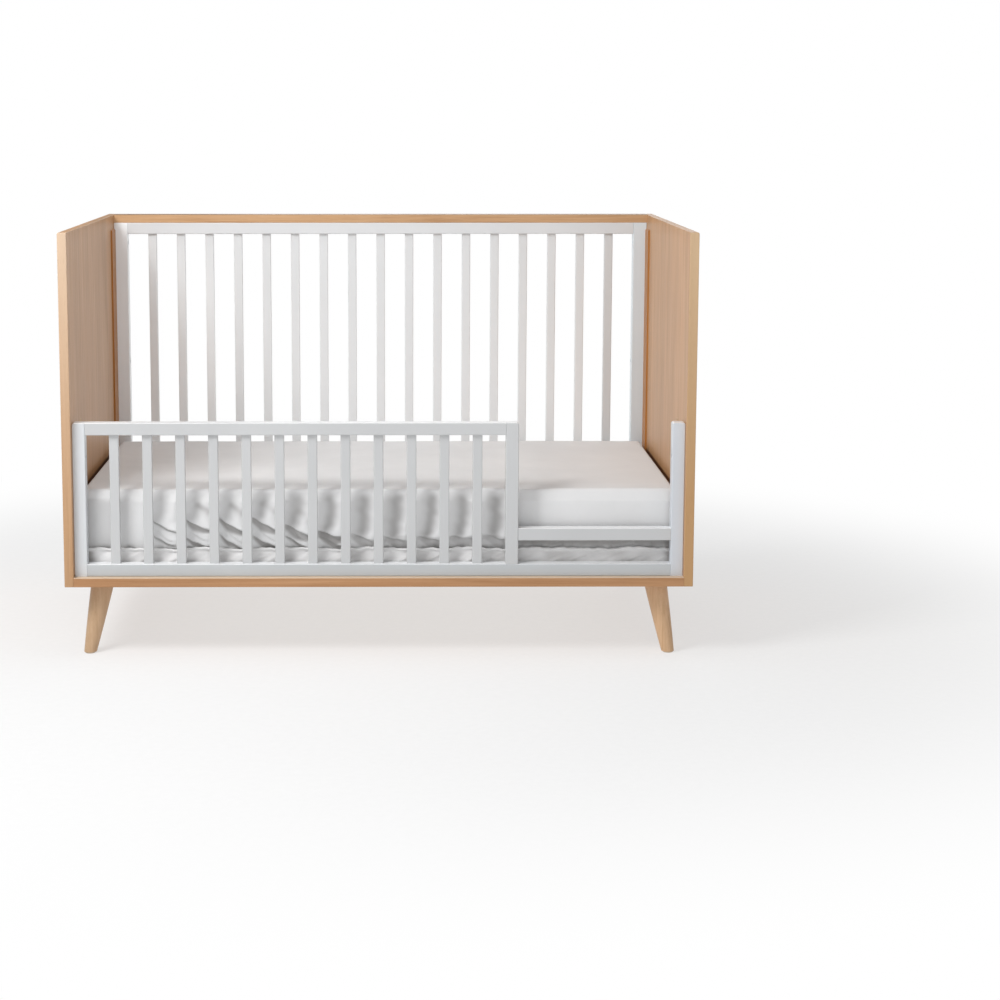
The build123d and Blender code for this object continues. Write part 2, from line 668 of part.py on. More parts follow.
def mattress():
    """The covered core."""
    z0 = SUPPORT_TOP + MATTRESS_GAP
    pad = rounded_pad(0, z0, MATTRESS_TOP, MATTRESS_EDGE_R)
    return fillet(pad.edges().group_by(Axis.Z)[0], MATTRESS_EDGE_R / 2)


def fitted_sheet():
    """Thin cap over the mattress, open below."""
    sheet_top = MATTRESS_TOP + SHEET_THICK
    outer = rounded_pad(SHEET_THICK, SHEET_HEM, sheet_top, MATTRESS_EDGE_R + SHEET_THICK)
    return outer - rounded_pad(0, SHEET_HEM - OVER, MATTRESS_TOP, MATTRESS_EDGE_R)


# ---- every node -----------------------------------------------------------------------
def side_name(side):
    """The word for the left (-1) or right (1) end."""
    return "left" if side < 0 else "right"


def depth_name(side):
    """The word for the front (-1) or back (1)."""
    return "front" if side < 0 else "back"


def all_nodes():
    """Every node's name and shape."""
    nodes = {"back_top_rail": back_top_rail()}
    for s in SIDES:
        nodes["end_panel_" + side_name(s)] = end_panel(s)
        nodes["base_board_" + side_name(s)] = side_base_board(s)
        nodes["base_board_" + depth_name(s)] = long_base_board(s)
        nodes["corner_batten_" + side_name(s)] = corner_batten(s)
        nodes["back_stile_" + side_name(s)] = back_stile(s)
        nodes["guard_post_" + side_name(s)] = guard_end_post(s)
        nodes["support_rail_" + depth_name(s)] = support_side_rail(s)
        nodes["support_rail_" + side_name(s)] = support_end_rail(s)
    for sx, sy in leg_places():
        nodes["leg_" + depth_name(sy) + "_" + side_name(sx)] = leg(sx, sy)
    nodes["back_rail_upper"] = back_rail(UPPER_RAIL_UNDER, TOP_RAIL_UNDER)
    nodes["back_rail_lower"] = back_rail(BOARD_TOP, LOWER_RAIL_TOP)
    for n, slat_solid in enumerate(back_slats(), 1):
        nodes["back_slat_%02d" % n] = slat_solid
    nodes["guard_post_middle"] = guard_middle_post()
    nodes["guard_rail_top"] = guard_top_rail()
    nodes["guard_rail_bottom"] = guard_bottom_rail()
    nodes["guard_rail_entry"] = guard_entry_rail()
    nodes["guard_slats"] = Compound(guard_slats())
    nodes["frame_bolts"] = Compound([frame_bolt(s, y, z) for s, y, z, _ in frame_bolt_places()])
    nodes["panel_inserts"] = Compound([panel_insert(s, y, z) for s, y, z in insert_places()])
    nodes["wood_dowels"] = Compound([dowel(s, y, z) for s, y, z in dowel_places()])
    nodes["base_cam_locks"] = Compound([cam_lock(s, y) for s, y in cam_places()])
    nodes["base_cam_pins"] = Compound([cam_bolt(s, y, 0) for s, y in cam_places()])
    nodes["leg_hanger_bolts"] = Compound([leg_hanger_bolt(sx, sy) for sx, sy in leg_places()])
    nodes["leg_inserts"] = Compound([leg_insert(sx, sy) for sx, sy in leg_places()])
    nodes["foot_glides"] = Compound([foot_glide(sx, sy) for sx, sy in leg_places()])
    lowest_hooks = hook_places()[:4]
    nodes["support_hook_bolts"] = Compound([hook_bolt(s, y, z) for s, y, z in lowest_hooks])
    nodes["support_brackets"] = Compound([support_bracket(s, y) for s, y, _ in lowest_hooks])
    screws = [bracket_screw(x, y, 0) for _, x, y in bracket_screw_places()]
    nodes["support_bracket_screws"] = Compound(screws)
    nodes["support_slats"] = Compound(support_slats())
    nodes["mattress"] = mattress()
    nodes["fitted_sheet"] = fitted_sheet()
    return nodes


os.makedirs("parts", exist_ok=True)
for name, shape in all_nodes().items():
    export_step(shape, "parts/" + name + ".step")
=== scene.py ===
import json
import math

import bpy
import numpy as np
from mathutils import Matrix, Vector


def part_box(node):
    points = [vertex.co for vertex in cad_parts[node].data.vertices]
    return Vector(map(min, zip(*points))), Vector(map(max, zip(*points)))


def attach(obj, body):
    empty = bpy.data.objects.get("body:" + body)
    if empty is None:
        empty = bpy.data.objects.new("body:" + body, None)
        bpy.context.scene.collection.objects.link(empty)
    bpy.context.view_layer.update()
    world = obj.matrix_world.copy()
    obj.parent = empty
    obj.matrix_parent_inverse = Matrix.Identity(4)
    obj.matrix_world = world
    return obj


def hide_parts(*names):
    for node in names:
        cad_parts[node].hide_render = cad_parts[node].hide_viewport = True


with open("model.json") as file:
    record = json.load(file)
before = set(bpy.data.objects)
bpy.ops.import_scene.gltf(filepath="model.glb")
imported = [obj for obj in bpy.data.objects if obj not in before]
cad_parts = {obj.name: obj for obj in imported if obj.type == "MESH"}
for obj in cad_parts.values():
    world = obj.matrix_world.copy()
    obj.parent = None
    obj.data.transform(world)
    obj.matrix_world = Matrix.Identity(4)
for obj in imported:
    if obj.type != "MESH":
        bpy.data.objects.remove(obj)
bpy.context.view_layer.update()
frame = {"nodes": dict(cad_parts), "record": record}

# A baby crib set up as a toddler bed. Metres, X along the length, Y to the back, Z up.
# The CAD nodes carry the wooden frame; the mattress and its fitted sheet are made here.


# ---- camera, light and floor ----------------------------------------------------------
CAMERA_AT = (0.0316, -4.8121, 1.1879)
CAMERA_PITCH = 7.785  # degrees below level
CAMERA_TURN = 0.325  # degrees to the right
CAMERA_LENS = 74.45
CAMERA_SHIFT = (0.095, -0.107)


def add_camera():
    """The camera, level with the mattress from afar and looking slightly down."""
    data = bpy.data.cameras.new("camera")
    data.lens = CAMERA_LENS
    data.sensor_width = 36.0
    data.shift_x, data.shift_y = CAMERA_SHIFT
    camera = bpy.data.objects.new("camera", data)
    camera.location = CAMERA_AT
    camera.rotation_euler = (math.radians(90 - CAMERA_PITCH), 0.0, math.radians(-CAMERA_TURN))
    bpy.context.scene.collection.objects.link(camera)
    bpy.context.scene.camera = camera


def add_soft_light(name, place, target, size, watts, colour=(1.0, 1.0, 1.0)):
    """A square studio softbox that faces its target."""
    data = bpy.data.lights.new(name, "AREA")
    data.shape = "SQUARE"
    data.size = size
    data.energy = watts
    data.color = colour
    light = bpy.data.objects.new(name, data)
    light.location = place
    light.visible_camera = False
    aim = np.array(target) - np.array(place)
    across = math.hypot(aim[0], aim[1])
    light.rotation_euler = (math.atan2(across, -aim[2]), 0.0, math.atan2(-aim[0], aim[1]))
    bpy.context.scene.collection.objects.link(light)


def add_lights():
    add_soft_light("key_light", (-1.6, -1.75, 2.4), (-0.1, 0.0, 0.45), 1.1, 56.0)
    add_soft_light("fill_light", (0.2, -4.2, 1.7), (0.0, 0.0, 0.40), 2.4, 20.0)
    add_soft_light("top_light", (-0.1, -0.40, 2.7), (0.0, 0.1, 0.4), 1.2, 8.0)
    add_soft_light("back_light", (0.6, 3.6, 2.4), (0.0, 0.0, 0.45), 2.6, 28.0)


STUDIO_COLOUR = (0.985, 0.99, 1.0, 1.0)
STUDIO_LIGHT = 0.32


def add_world():
    """An even white studio: full white behind the object, softer as a light source."""
    world = bpy.data.worlds.new("studio")
    bpy.context.scene.world = world
    world.use_nodes = True
    tree = world.node_tree
    tree.nodes.clear()
    out = tree.nodes.new("ShaderNodeOutputWorld")
    mix = tree.nodes.new("ShaderNodeMixShader")
    path = tree.nodes.new("ShaderNodeLightPath")
    lighting = tree.nodes.new("ShaderNodeBackground")
    lighting.inputs["Color"].default_value = STUDIO_COLOUR
    lighting.inputs["Strength"].default_value = STUDIO_LIGHT
    seen = tree.nodes.new("ShaderNodeBackground")
    seen.inputs["Color"].default_value = (1.0, 1.0, 1.0, 1.0)
    seen.inputs["Strength"].default_value = 1.0
    tree.links.new(path.outputs["Is Camera Ray"], mix.inputs["Fac"])
    tree.links.new(lighting.outputs[0], mix.inputs[1])
    tree.links.new(seen.outputs[0], mix.inputs[2])
    tree.links.new(mix.outputs[0], out.inputs["Surface"])


# ---- node helpers ---------------------------------------------------------------------
RANGE_SOCKETS = "From Min", "From Max", "To Min", "To Max"


class Graph:
    """A material's node tree, built a node at a time."""

    def __init__(self, name):
        self.material = bpy.data.materials.new(name)
        self.material.use_nodes = True
        self.tree = self.material.node_tree
        self.shader = self.tree.nodes["Principled BSDF"]

    def add(self, kind, settings=None, **inputs):
        """One node; inputs are sockets by name, as values or as other nodes' outputs."""
        node = self.tree.nodes.new("ShaderNode" + kind)
        for key, value in (settings or {}).items():
            setattr(node, key, value)
        for key, value in inputs.items():
            self.set(node, key.replace("_", " "), value)
        return node

    def set(self, node, socket, value):
        target = node.inputs[int(socket)] if str(socket).isdigit() else node.inputs[socket]
        if isinstance(value, bpy.types.NodeSocket):
            self.tree.links.new(value, target)
        else:
            target.default_value = value

    def math(self, operation, a, b=0.0):
        node = self.add("Math", {"operation": operation})
        self.set(node, "0", a)
        self.set(node, "1", b)
        return node.outputs[0]

    def object_point(self, scale):
        """Object coordinates stretched by a scale along each axis."""
        place = self.add("TexCoord").outputs["Object"]
        mapping = self.add("Mapping", Vector=place)
        mapping.inputs["Scale"].default_value = scale
        return mapping.outputs[0]

    def noise(self, point, scale, detail=4.0, roughness=0.5, distortion=0.0):
        node = self.add("TexNoise", Vector=point, Scale=scale, Detail=detail, Roughness=roughness)
        node.inputs["Distortion"].default_value = distortion
        return node.outputs["Fac"]

    def ramp(self, value, stops):
        """A colour ramp through (place, colour) stops."""
        node = self.add("ValToRGB", Fac=value)
        band = node.color_ramp
        while len(band.elements) < len(stops):
            band.elements.new(0.5)
        for element, (place, colour) in zip(band.elements, stops):
            element.position = place
            element.color = (*colour, 1.0)
        return node.outputs["Color"]

    def span(self, value, low, high, new_low, new_high):
        """The value rescaled from one range to another."""
        node = self.add("MapRange", Value=value)
        for place, number in zip(RANGE_SOCKETS, (low, high, new_low, new_high)):
            node.inputs[place].default_value = number
        return node.outputs["Result"]

    def mix(self, amount, first, second, blend="MIX"):
        node = self.add("Mix", {"data_type": "RGBA", "blend_type": blend})
        for socket, value in ((0, amount), (6, first), (7, second)):
            if isinstance(value, bpy.types.NodeSocket):
                self.tree.links.new(value, node.inputs[socket])
            else:
                node.inputs[socket].default_value = value if socket == 0 else (*value, 1.0)
        return node.outputs[2]

    def tinted_on_top(self, colour, tone, amount):
        """The colour, mixed towards a tone where the surface faces up: a lighter tone is painted light on
        upper faces, a darker one makes them darker.
        """
        normal = self.add("SeparateXYZ", Vector=self.add("NewGeometry").outputs["Normal"]).outputs["Z"]
        return self.mix(self.span(normal, 0.35, 0.85, 0.0, amount), colour, tone)

    def bump(self, height, strength, distance, under=None):
        node = self.add("Bump", Height=height, Strength=strength, Distance=distance)
        if under is not None:
            self.tree.links.new(under, node.inputs["Normal"])
        return node.outputs["Normal"]

    def finish(self, colour, roughness, normal=None, **constants):
        """Links the shader's colour, roughness and normal, and sets its constants."""
        self.set(self.shader, "Base Color", colour)
        self.set(self.shader, "Roughness", roughness)
        if normal is not None:
            self.set(self.shader, "Normal", normal)
        for key, value in constants.items():
            self.shader.inputs[key.replace("_", " ")].default_value = value
        return self.material


# ---- materials ------------------------------------------------------------------------
AXES = {"x": 0, "y": 1, "z": 2}


def stretched(axis, along, across):
    """A texture scale that runs long along one axis."""
    scale = [across] * 3
    scale[AXES[axis]] = along
    return scale


def edge_strips(g, colour):
    """The colour with painted light on an end panel's front and back edges: on the left panel paler towards
    the top as a painted highlight, on the right panel a strip from a shaded tone low to a lit tone high.
    """
    place = g.add("SeparateXYZ", Vector=g.add("TexCoord").outputs["Object"])
    on_edge = g.span(g.math("ABSOLUTE", place.outputs["Y"]), *PANEL_EDGE_FROM, 0.0, 1.0)
    painted_highlight = g.math("MULTIPLY", on_edge, g.span(place.outputs["Z"], 0.30, 0.95, 0.10, 0.80))
    on_left = g.span(place.outputs["X"], -0.5, 0.5, 1.0, 0.0)
    colour = g.mix(g.math("MULTIPLY", painted_highlight, on_left), colour, EDGE_HIGHLIGHT)
    on_right = g.span(place.outputs["X"], -0.5, 0.5, 0.0, 1.0)
    painted_strip_light = g.mix(g.span(place.outputs["Z"], 0.35, 0.90, 0.0, 1.0), RIGHT_EDGE_SHADED, RIGHT_EDGE_LIT)
    return g.mix(g.math("MULTIPLY", on_edge, on_right), colour, painted_strip_light)


def rubbed(g, colour):
    """The colour with a painted shadow: a dark line on an end panel's inner face, in the gap beside the
    mattress's top edge, where the gap's shade falls.
    """
    place = g.add("SeparateXYZ", Vector=g.add("TexCoord").outputs["Object"])
    inside = g.span(g.math("ABSOLUTE", place.outputs["X"]), *GAP_SHADOW_WITHIN_X, 1.0, 0.0)
    between = g.span(g.math("ABSOLUTE", place.outputs["Y"]), *GAP_SHADOW_WITHIN_Y, 1.0, 0.0)
    above = g.span(place.outputs["Z"], *GAP_SHADOW_FROM_Z, 0.0, 1.0)
    below = g.span(place.outputs["Z"], *GAP_SHADOW_UP_TO_Z, 1.0, 0.0)
    line = g.math("MULTIPLY", g.math("MULTIPLY", inside, between), g.math("MULTIPLY", above, below))
    return g.mix(line, colour, GAP_SHADOW_TONE)


def wood(name, axis, tones, rough=0.42, coat=0.08, band=False, top=None):
    """Satin-lacquered wood whose grain runs along one axis.

    Band gives its front and back edges strips of painted light, paler towards the top, and paints a shadow
    line on its inner face beside the mattress. Top, a tone and an amount, mixes its upper faces towards that
    tone, as painted light where the tone is lighter."""
    g = Graph(name)
    light, mid, dark = tones
    broad = g.noise(g.object_point(stretched(axis, 0.25, 3.0)), 3.0, 3.0, 0.5, 0.6)
    figure = g.noise(g.object_point(stretched(axis, 0.9, 26.0)), 2.6, 6.0, 0.62, 0.9)
    streaks = g.noise(g.object_point(stretched(axis, 3.0, 190.0)), 2.4, 5.0, 0.6, 0.3)
    pores = g.noise(g.object_point(stretched(axis, 26.0, 900.0)), 1.7, 3.0, 0.55)
    grain = g.math("ADD", g.math("MULTIPLY", figure, 0.62), g.math("MULTIPLY", streaks, 0.38))
    colour = g.ramp(grain, ((0.30, dark), (0.47, mid), (0.66, light)))
    if band:
        colour = rubbed(g, edge_strips(g, colour))
    if top:
        colour = g.tinted_on_top(colour, *top)
    tone = g.span(broad, 0.3, 0.7, 0.90, 1.08)
    toned = g.add("Mix", {"data_type": "RGBA", "blend_type": "MULTIPLY"})
    toned.inputs[0].default_value = 1.0
    g.tree.links.new(colour, toned.inputs[6])
    g.tree.links.new(g.add("CombineColor", Red=tone, Green=tone, Blue=tone).outputs[0], toned.inputs[7])
    pore_dark = g.span(pores, 0.60, 0.72, 0.0, 0.30)
    final = g.mix(pore_dark, toned.outputs[2], tuple(0.45 * c for c in dark))
    roughness = g.span(streaks, 0.3, 0.7, rough + 0.07, rough - 0.05)
    height = g.math("SUBTRACT", g.math("MULTIPLY", streaks, 0.35), g.math("MULTIPLY", pore_dark, 1.2))
    normal = g.bump(height, 0.22, 0.0004)
    return g.finish(final, roughness, normal, Coat_Weight=coat, Coat_Roughness=0.22, Specular_IOR_Level=0.3)


def white_paint(name, axis, tone, painted_foot_light=None):
    """Satin white paint over wood, with the grain just showing through it, lighter on its upper faces as
    painted light, and with painted light at a slat's foot.
    """
    g = Graph(name)
    grain = g.noise(g.object_point(stretched(axis, 4.0, 160.0)), 2.0, 4.0, 0.55)
    peel = g.noise(g.object_point((1.0, 1.0, 1.0)), 420.0, 2.0, 0.5)
    cloud = g.noise(g.object_point((1.0, 1.0, 1.0)), 5.0, 3.0, 0.5)
    colour = g.ramp(cloud, ((0.3, tuple(0.95 * c for c in tone)), (0.7, tone)))
    if painted_foot_light:
        height = g.add("SeparateXYZ", Vector=g.object_point((1.0, 1.0, 1.0))).outputs["Z"]
        # the slat's lower part is painted lighter, as painted light against the shade that falls there
        colour = g.mix(g.span(height, *SLAT_FOOT_LIGHT_FADE, 1.0, 0.0), colour, painted_foot_light)
    colour = g.tinted_on_top(colour, PAINT_TOP_LIGHT, 0.9)
    roughness = g.span(peel, 0.3, 0.7, 0.34, 0.44)
    normal = g.bump(peel, 0.05, 0.0003, g.bump(grain, 0.06, 0.0005))
    return g.finish(colour, roughness, normal, Coat_Weight=0.35, Coat_Roughness=0.16)


def metal(name, colour, rough):
    """Plated metal with fine turning marks and a little tarnish."""
    g = Graph(name)
    tarnish = g.noise(g.object_point((1.0, 1.0, 1.0)), 180.0, 4.0, 0.6)
    marks = g.noise(g.object_point((2200.0, 240.0, 240.0)), 1.0, 2.0, 0.5)
    dull = tuple(0.72 * c for c in colour)
    final = g.ramp(tarnish, ((0.25, dull), (0.62, colour)))
    roughness = g.span(marks, 0.3, 0.7, rough - 0.06, rough + 0.12)
    return g.finish(final, roughness, g.bump(marks, 0.08, 0.0001), Metallic=1.0)


def moulded_plastic():
    """The foot glides' fine-textured plastic."""
    g = Graph("glide_plastic")
    fine = g.noise(g.object_point((1.0, 1.0, 1.0)), 1500.0, 2.0, 0.5)
    colour = g.ramp(fine, ((0.3, (0.56, 0.47, 0.36)), (0.7, (0.64, 0.55, 0.43))))
    return g.finish(colour, g.span(fine, 0.3, 0.7, 0.5, 0.62), g.bump(fine, 0.1, 0.0001))


# warmth of the painted shade in the cloth's folds
PAINTED_SHADE_TINT = 1.03, 1.0, 0.975


def woven_cloth(name, shade, thread, slub, crease, sheen, painted_shade):
    """Plain-weave cloth: threads along all three axes, so that it reads the same on top and sides.
    Its colour is darkened towards a painted shade where the mesh's point attribute marks shade: in the folds'
    hollows, under the rails and in the frame's shadow."""
    g = Graph(name)
    point = g.object_point((1.0, 1.0, 1.0))
    waves = []
    for direction in ("X", "Y", "Z"):
        wave = g.add("TexWave", {"wave_type": "BANDS", "bands_direction": direction},
                     Vector=point, Scale=thread, Distortion=0.6, Detail=1.0)
        waves.append(wave.outputs["Fac"])
    weave = g.math("MULTIPLY", g.math("ADD", waves[0], g.math("ADD", waves[1], waves[2])), 0.333)
    fibre = g.noise(point, 900.0, 3.0, 0.6)
    patch = g.noise(point, 7.0, 4.0, 0.55)
    soft = g.noise(point, 34.0, 5.0, 0.55, 0.4)
    low = tuple(0.93 * c for c in shade)
    colour = g.mix(g.span(fibre, 0.3, 0.7, 0.0, 0.25), g.ramp(patch, ((0.3, low), (0.7, shade))), low)
    depth = g.add("Attribute", {"attribute_name": "painted_shade_amount"}).outputs["Fac"]
    painted_shade_colour = tuple((1 - painted_shade) * warm * c for warm, c in zip(PAINTED_SHADE_TINT, shade))
    colour = g.mix(depth, colour, painted_shade_colour)
    normal = g.bump(soft, crease, 0.004)
    normal = g.bump(fibre, slub, 0.0003, normal)
    normal = g.bump(weave, 0.25, 0.00015, normal)
    roughness = g.span(fibre, 0.3, 0.7, 0.82, 0.95)
    return g.finish(colour, roughness, normal, Sheen_Weight=sheen, Sheen_Roughness=0.5,
                    Specular_IOR_Level=0.25)


def floor_material(clear_radius, fade_radius, lift):
    """Pale matte floor, lifted towards white, that fades into the white backdrop far from the object."""
    g = Graph("pale_floor")
    point = g.object_point((1.0, 1.0, 1.0))
    speck = g.noise(point, 60.0, 3.0, 0.5)
    g.set(g.shader, "Base Color", g.ramp(speck, ((0.3, (0.86, 0.86, 0.86)), (0.7, (0.90, 0.90, 0.90)))))
    g.set(g.shader, "Roughness", 0.85)
    g.set(g.shader, "Specular IOR Level", 0.15)
    length = g.add("VectorMath", {"operation": "LENGTH"})
    g.tree.links.new(point, length.inputs[0])
    fade = g.add("MapRange", {"interpolation_type": "SMOOTHERSTEP"}, Value=length.outputs["Value"])
    for socket, value in zip(RANGE_SOCKETS, (clear_radius, fade_radius, lift, 1.0)):
        fade.inputs[socket].default_value = value
    white = g.add("Emission", Strength=1.0)
    white.inputs["Color"].default_value = (1.0, 1.0, 1.0, 1.0)
    blend = g.add("MixShader")
    g.tree.links.new(fade.outputs["Result"], blend.inputs[0])
    g.tree.links.new(g.shader.outputs[0], blend.inputs[1])
    g.tree.links.new(white.outputs[0], blend.inputs[2])
    out = next(n for n in g.tree.nodes if n.type == "OUTPUT_MATERIAL")
    g.tree.links.new(blend.outputs[0], out.inputs["Surface"])
    return g.material


# ---- finishes of the CAD nodes ----------------------------------------------------------
# wood tones per part; the left leg's are a darker copy of the legs' tones, as painted shade, and the battens'
# deep red-brown partly stands for the shade in the corners where they sit
PANEL_TONES = (0.612, 0.367, 0.195), (0.526, 0.292, 0.140), (0.411, 0.209, 0.089)
BOARD_TONES = (0.526, 0.289, 0.145), (0.446, 0.231, 0.107), (0.347, 0.165, 0.068)
RAIL_TONES = (0.640, 0.410, 0.232), (0.552, 0.330, 0.172), (0.430, 0.235, 0.110)
LEG_TONES = (0.700, 0.470, 0.290), (0.620, 0.400, 0.232), (0.500, 0.300, 0.160)
LEFT_LEG_SHADED_TONES = (0.590, 0.405, 0.255), (0.522, 0.344, 0.204), (0.420, 0.258, 0.140)
BATTEN_TONES = (0.500, 0.218, 0.058), (0.428, 0.174, 0.041), (0.334, 0.124, 0.026)
PANEL_EDGE_FROM = 0.4008, 0.4014
# painted highlight on the left panel's edges, strongest towards the top
EDGE_HIGHLIGHT = (0.640, 0.500, 0.375)
# a painted shadow line on the panels' inner faces, in the gap beside the mattress's top edge
GAP_SHADOW_WITHIN_X = 0.6690, 0.6705
GAP_SHADOW_WITHIN_Y = 0.338, 0.347
GAP_SHADOW_FROM_Z = 0.3385, 0.3420
GAP_SHADOW_UP_TO_Z = 0.3480, 0.3530
GAP_SHADOW_TONE = (0.110, 0.036, 0.012)
# the right panel's edge strip, painted shaded low and lit high
RIGHT_EDGE_SHADED = (0.500, 0.292, 0.135)
RIGHT_EDGE_LIT = (0.620, 0.435, 0.262)
# tones for upper faces: the base boards' top ledge lighter as painted light, the back rail's top darker
BOARD_TOP_LIGHT = (0.80, 0.64, 0.48), 0.8
RAIL_TOP_DARKER = (0.34, 0.22, 0.13), 0.85
BEECH_TONES = (0.60, 0.44, 0.27), (0.52, 0.36, 0.21), (0.40, 0.26, 0.14)
# start of the node's name, the finish's name, its light, middle and dark tones, and the tone its upper faces
# are mixed towards: lighter as painted light on the base boards, darker on the back rail
WALNUT_PARTS = (
    ("corner_batten", "batten", BATTEN_TONES, None),
    ("end_panel", "panel", PANEL_TONES, None),
    ("leg_front_left", "left_leg", LEFT_LEG_SHADED_TONES, None),
    ("leg_", "leg", LEG_TONES, None),
    ("back_top_rail", "rail", RAIL_TONES, RAIL_TOP_DARKER),
    ("base_board", "board", BOARD_TONES, BOARD_TOP_LIGHT),
)
# a lighter tone on the white paint's upper faces, as painted light
PAINT_TOP_LIGHT = (0.92, 0.93, 0.94)
# heights of the painted light at the slats' feet
SLAT_FOOT_LIGHT_FADE = 0.52, 0.86  # heights between which a slat's paint goes from its foot's tone to its own
# start of the node's name, the paint's name, its tone, and its tone at the foot where that differs, lighter
# there as painted light; the one white paint is toned apart from part to part to paint the light and shade
# that falls on each, the left stile and first slats lighter where the left panel shades them
WHITE_PAINT_LIT_AND_SHADED = (
    ("guard_post_left", "left_post", (0.680, 0.706, 0.733), None),
    ("guard_post_right", "right_post", (0.650, 0.688, 0.738), None),
    ("guard_rail_bottom", "bottom_rail", (0.540, 0.568, 0.588), None),
    ("guard", "guard", (0.574, 0.582, 0.589), None),
    ("back_stile_left", "left_stile", (0.935, 0.965, 0.985), None),
    ("back_stile_right", "right_stile", (0.712, 0.780, 0.822), None),
    ("back_slat_01", "shaded_slat", (0.725, 0.742, 0.755), (0.940, 0.955, 0.965)),
    ("back_slat_02", "shaded_slat", (0.725, 0.742, 0.755), (0.940, 0.955, 0.965)),
    ("back_slat_03", "shaded_slat", (0.725, 0.742, 0.755), (0.940, 0.955, 0.965)),
    ("back_slat_17", "last_slat", (0.660, 0.674, 0.684), None),
    ("back_slat", "slat", (0.724, 0.740, 0.752), (0.786, 0.800, 0.810)),
    ("back", "frame", (0.700, 0.716, 0.730), None),
)


def long_axis(node):
    """The axis along which a node is longest, which is the way its grain runs."""
    low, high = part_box(node)
    sizes = [high[i] - low[i] for i in range(3)]
    return "xyz"[sizes.index(max(sizes))]


def node_finish(node, slot_name, made):
    """The material of one CAD node, made once for each finish and grain direction."""
    axis = "z" if node.startswith(("end_panel", "leg_", "guard_slats")) else long_axis(node)
    if node == "support_slats":
        axis = "y"
    if slot_name == "walnut":
        name, tones, top = next(row[1:] for row in WALNUT_PARTS if node.startswith(row[0]))
        key = name + axis
        make = lambda: wood("walnut_%s_%s" % (name, axis), axis, tones, band=name == "panel", top=top)
    elif slot_name == "white_paint":
        name, tone, painted_foot_light = next(row[1:] for row in WHITE_PAINT_LIT_AND_SHADED if node.startswith(row[0]))
        key = "white_" + name + axis
        make = lambda: white_paint("white_%s_%s" % (name, axis), axis, tone, painted_foot_light)
    elif slot_name == "plain_wood":
        key, make = "plain_" + axis, lambda: wood("plain_wood_" + axis, axis, BEECH_TONES, 0.5, 0.0)
    elif slot_name == "brass":
        key, make = "brass", lambda: metal("brass", (0.72, 0.53, 0.26), 0.34)
    elif slot_name == "glide_plastic":
        key, make = "glide", moulded_plastic
    else:
        key, make = "zinc", lambda: metal("zinc_steel", (0.55, 0.56, 0.58), 0.32)
    if key not in made:
        made[key] = make()
    return made[key]


def dress_cad_nodes():
    """Gives every carried-over CAD node its procedural material."""
    made = {}
    slots = {part["node"]: part["material_slot"] for part in frame["record"]["subparts"]}
    for node, obj in frame["nodes"].items():
        obj.data.materials.clear()
        obj.data.materials.append(node_finish(node, slots[node], made))


# ---- soft pieces ------------------------------------------------------------------------
def mesh_object(name, points, faces, material, body):
    """A smooth-shaded mesh piece that rides on a body and takes its finish from a slot."""
    mesh = bpy.data.meshes.new(name)
    mesh.from_pydata([tuple(p) for p in points], [], [tuple(int(i) for i in f) for f in faces])
    mesh.materials.append(material)
    mesh.polygons.foreach_set("use_smooth", [True] * len(mesh.polygons))
    mesh.update()
    obj = bpy.data.objects.new(name, mesh)
    bpy.context.scene.collection.objects.link(obj)
    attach(obj, body)
    return obj


FLOOR_HALF = 30.0
FLOOR_CLEAR = 0.90  # how far from the middle the floor stays plain
FLOOR_FADED = 2.2  # and where it has faded into the backdrop
FLOOR_LIFT = 0.58


def add_floor():
    """The pale floor, which isn't part of the object."""
    half = FLOOR_HALF
    ring = [(-half, -half, 0.0), (half, -half, 0.0), (half, half, 0.0), (-half, half, 0.0)]
    mesh = bpy.data.meshes.new("floor")
    mesh.from_pydata(ring, [], [(0, 1, 2, 3)])
    mesh.materials.append(floor_material(FLOOR_CLEAR, FLOOR_FADED, FLOOR_LIFT))
    floor = bpy.data.objects.new("floor", mesh)
    bpy.context.scene.collection.objects.link(floor)


def smoothstep(low, high, value):
    """0 before low, 1 after high, and a smooth rise between; falls instead where low is above high."""
    t = np.clip((value - low) / (high - low), 0.0, 1.0)
    return t * t * (3.0 - 2.0 * t)


def bell(value, width):
    """A bump of height 1 at zero that fades within a couple of widths."""
    return np.exp(-((value / width) ** 2))


def waves(place, seed, count, longest, shortest):
    """A smooth irregular curve in -1..1 along a line: a sum of sines with seeded phases."""
    random = np.random.default_rng(seed)
    total = np.zeros_like(place)
    for n in range(count):
        length = longest * (shortest / longest) ** (n / max(count - 1, 1))
        total += np.sin(2 * math.pi * place / length + random.uniform(0, 2 * math.pi)) / (1 + 0.5 * n)
    return total / 2.0


def steps(low, high, cell):
    """Evenly spaced places from low to high, about a cell apart."""
    return np.linspace(low, high, max(2, int(round((high - low) / cell)) + 1))


def grid_faces(rows, columns, start=0):
    """Quads between neighbouring points of a grid stored row by row."""
    base = (np.arange(rows - 1)[:, None] * columns + np.arange(columns - 1)[None, :] + start).ravel()
    return np.stack([base, base + 1, base + columns + 1, base + columns], axis=1)


def weld(points, faces):
    """Merges points that share a place, and renumbers the faces."""
    keys = np.round(points * 1e5).astype(np.int64)
    _, first, back = np.unique(keys, axis=0, return_index=True, return_inverse=True)
    return points[first], back.ravel()[faces]


def closer_at_ends(half, fine, coarse, band):
    """Steps from -half to half: fine ones within a band at each end, coarse ones between."""
    inner = half - band
    middle = steps(-inner, inner, coarse)[1:-1]
    return np.concatenate([steps(-half, -inner, fine), middle, steps(inner, half, fine)])


